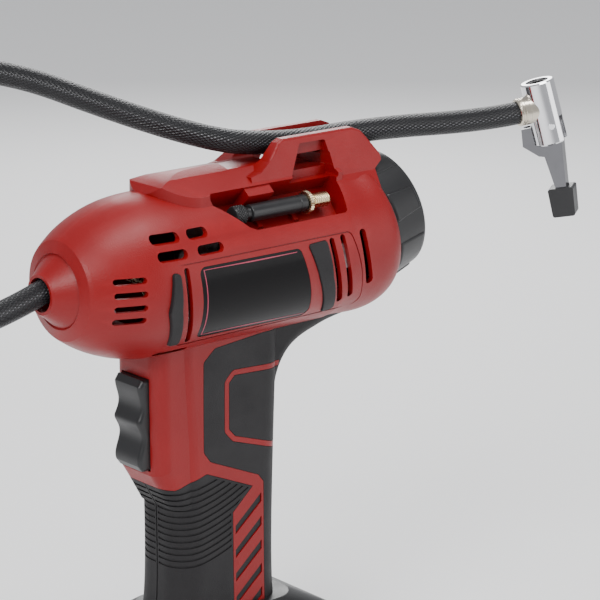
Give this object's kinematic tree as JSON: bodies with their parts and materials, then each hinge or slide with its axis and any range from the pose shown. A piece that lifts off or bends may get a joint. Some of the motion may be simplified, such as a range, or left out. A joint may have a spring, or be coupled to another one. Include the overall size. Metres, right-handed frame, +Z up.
{
  "type": "cordless tyre inflator",
  "caption": "Pistol-grip cordless air pump with a barrel body, rear dial gauge, stored adapters, slide-off battery and a braided hose ending in a lever valve chuck.",
  "frame": {"origin": "on the standing face under the battery, below the middle of the barrel", "axes": "+Z up, -X towards the nose where the hose leaves, -Y towards the side with the adapter bay"},
  "size_m": [0.4144, 0.1733, 0.341],
  "materials": {
    "red_plastic": "fine-grained red moulding",
    "soft_grip": "dark grey soft overmould, matt",
    "gloss_panel": "smooth gloss black panel",
    "satin_black": "satin black moulding",
    "black_plastic": "grained black moulding",
    "dial_face": "white printed dial",
    "needle_red": "red pointer",
    "clear_lens": "clear lens",
    "steel": "plain steel",
    "magnet": "sintered magnet",
    "aluminium": "die cast",
    "seal_rubber": "black rubber",
    "copper": "copper alloy blades",
    "brass": "turned brass",
    "cell_wrap": "shrink-wrapped cells",
    "braided_hose": "black braided sleeve with light flecks",
    "chrome": "polished chrome",
    "nickel_brass": "nickel-plated crimp"
  },
  "bodies": {
    "root": {"housing_left": "red_plastic", "housing_right": "red_plastic", "grip_overmould_left": "soft_grip", "grip_overmould_right": "soft_grip", "front_bumper_left": "soft_grip", "front_bumper_right": "soft_grip", "rear_bumper_left": "soft_grip", "rear_bumper_right": "soft_grip", "side_badge_left": "gloss_panel", "side_badge_right": "gloss_panel", "gauge_bezel": "satin_black", "gauge_case": "satin_black", "battery_shoe": "satin_black", "switch_block": "black_plastic", "terminal_block": "black_plastic", "motor_end_cap": "black_plastic", "hose_gland": "black_plastic", "gauge_dial": "dial_face", "gauge_lens": "clear_lens", "housing_screws": "steel", "head_screws": "steel", "motor_can": "steel", "crank_axle": "steel", "valve_plate": "steel", "trigger_spring": "steel", "motor_bearing_front": "steel", "motor_bearing_rear": "steel", "motor_magnets": "magnet", "pump_frame": "aluminium", "motor_bracket": "aluminium", "cylinder": "aluminium", "cylinder_head": "aluminium", "chuck_seal": "seal_rubber", "contact_blades": "copper", "outlet_tube": "brass", "hose": "braided_hose", "chuck_body": "chrome", "lever_pin": "chrome", "hose_ferrule": "nickel_brass"},
    "needle": {"gauge_needle": "needle_red"},
    "rotor": {"rotor": "steel", "motor_pinion": "steel", "cooling_fan": "black_plastic"},
    "crank": {"crank_gear": "steel", "crank_pin": "steel"},
    "piston": {"piston": "aluminium", "piston_ring": "seal_rubber", "wrist_pin": "steel"},
    "connecting_rod": {"connecting_rod": "aluminium"},
    "trigger": {"trigger": "satin_black"},
    "battery": {"battery_case_lower": "black_plastic", "battery_case_upper": "black_plastic", "battery_cells": "cell_wrap", "cell_holder": "black_plastic", "latch_spring": "steel"},
    "battery_latch": {"battery_latch": "black_plastic"},
    "adapters": {"nozzle_adapter": "satin_black", "needle_adapter": "brass"},
    "chuck_lever": {"chuck_lever": "chrome", "lever_grip": "satin_black"}
  },
  "joints": [
    {"name": "trigger_pull", "type": "slide", "parent": "root", "child": "trigger", "axis": [1, 0, 0], "range_m": [0, 0.006], "stiffness_N_per_m": 500, "springref_m": -0.004, "deforming": ["trigger_spring"]},
    {"name": "motor_spin", "type": "hinge", "parent": "root", "child": "rotor", "pos_m": [0, 0, 0.228], "axis": [1, 0, 0], "continuous": true},
    {"name": "crank_spin", "type": "hinge", "parent": "root", "child": "crank", "pos_m": [0, 0, 0.2505], "axis": [1, 0, 0], "continuous": true},
    {"name": "piston_slide", "type": "slide", "parent": "root", "child": "piston", "axis": [0, 0, 1], "range_m": [0, 0.014]},
    {"name": "rod_swing", "type": "hinge", "parent": "piston", "child": "connecting_rod", "pos_m": [-0.019, 0, 0.206], "axis": [1, 0, 0], "range_deg": [-10, 10]},
    {"name": "needle_sweep", "type": "hinge", "parent": "root", "child": "needle", "pos_m": [0.09922, 0, 0.24928], "axis": [-0.9767, 0, -0.2147], "range_deg": [0, 270], "stiffness_Nm_per_rad": 0.0002, "springref_deg": -11.46},
    {"name": "battery_slide", "type": "slide", "parent": "root", "child": "battery", "axis": [-1, 0, 0], "range_m": [0, 0.09]},
    {"name": "battery_latch_press", "type": "slide", "parent": "battery", "child": "battery_latch", "axis": [0, 0, -1], "range_m": [0, 0.004], "stiffness_N_per_m": 500, "springref_m": -0.004, "deforming": ["latch_spring"]},
    {"name": "adapter_lift", "type": "slide", "parent": "root", "child": "adapters", "axis": [0, -0.6639, 0.7478], "range_m": [0, 0.03]},
    {"name": "lever_swing", "type": "hinge", "parent": "root", "child": "chuck_lever", "pos_m": [0.1832, -0.04981, 0.29335], "axis": [-0.8459, -0.5286, -0.0706], "range_deg": [0, 90]}
  ],
  "couplings": [
    {"joint": "crank_spin", "follows": "motor_spin", "ratio": -0.25}
  ]
}
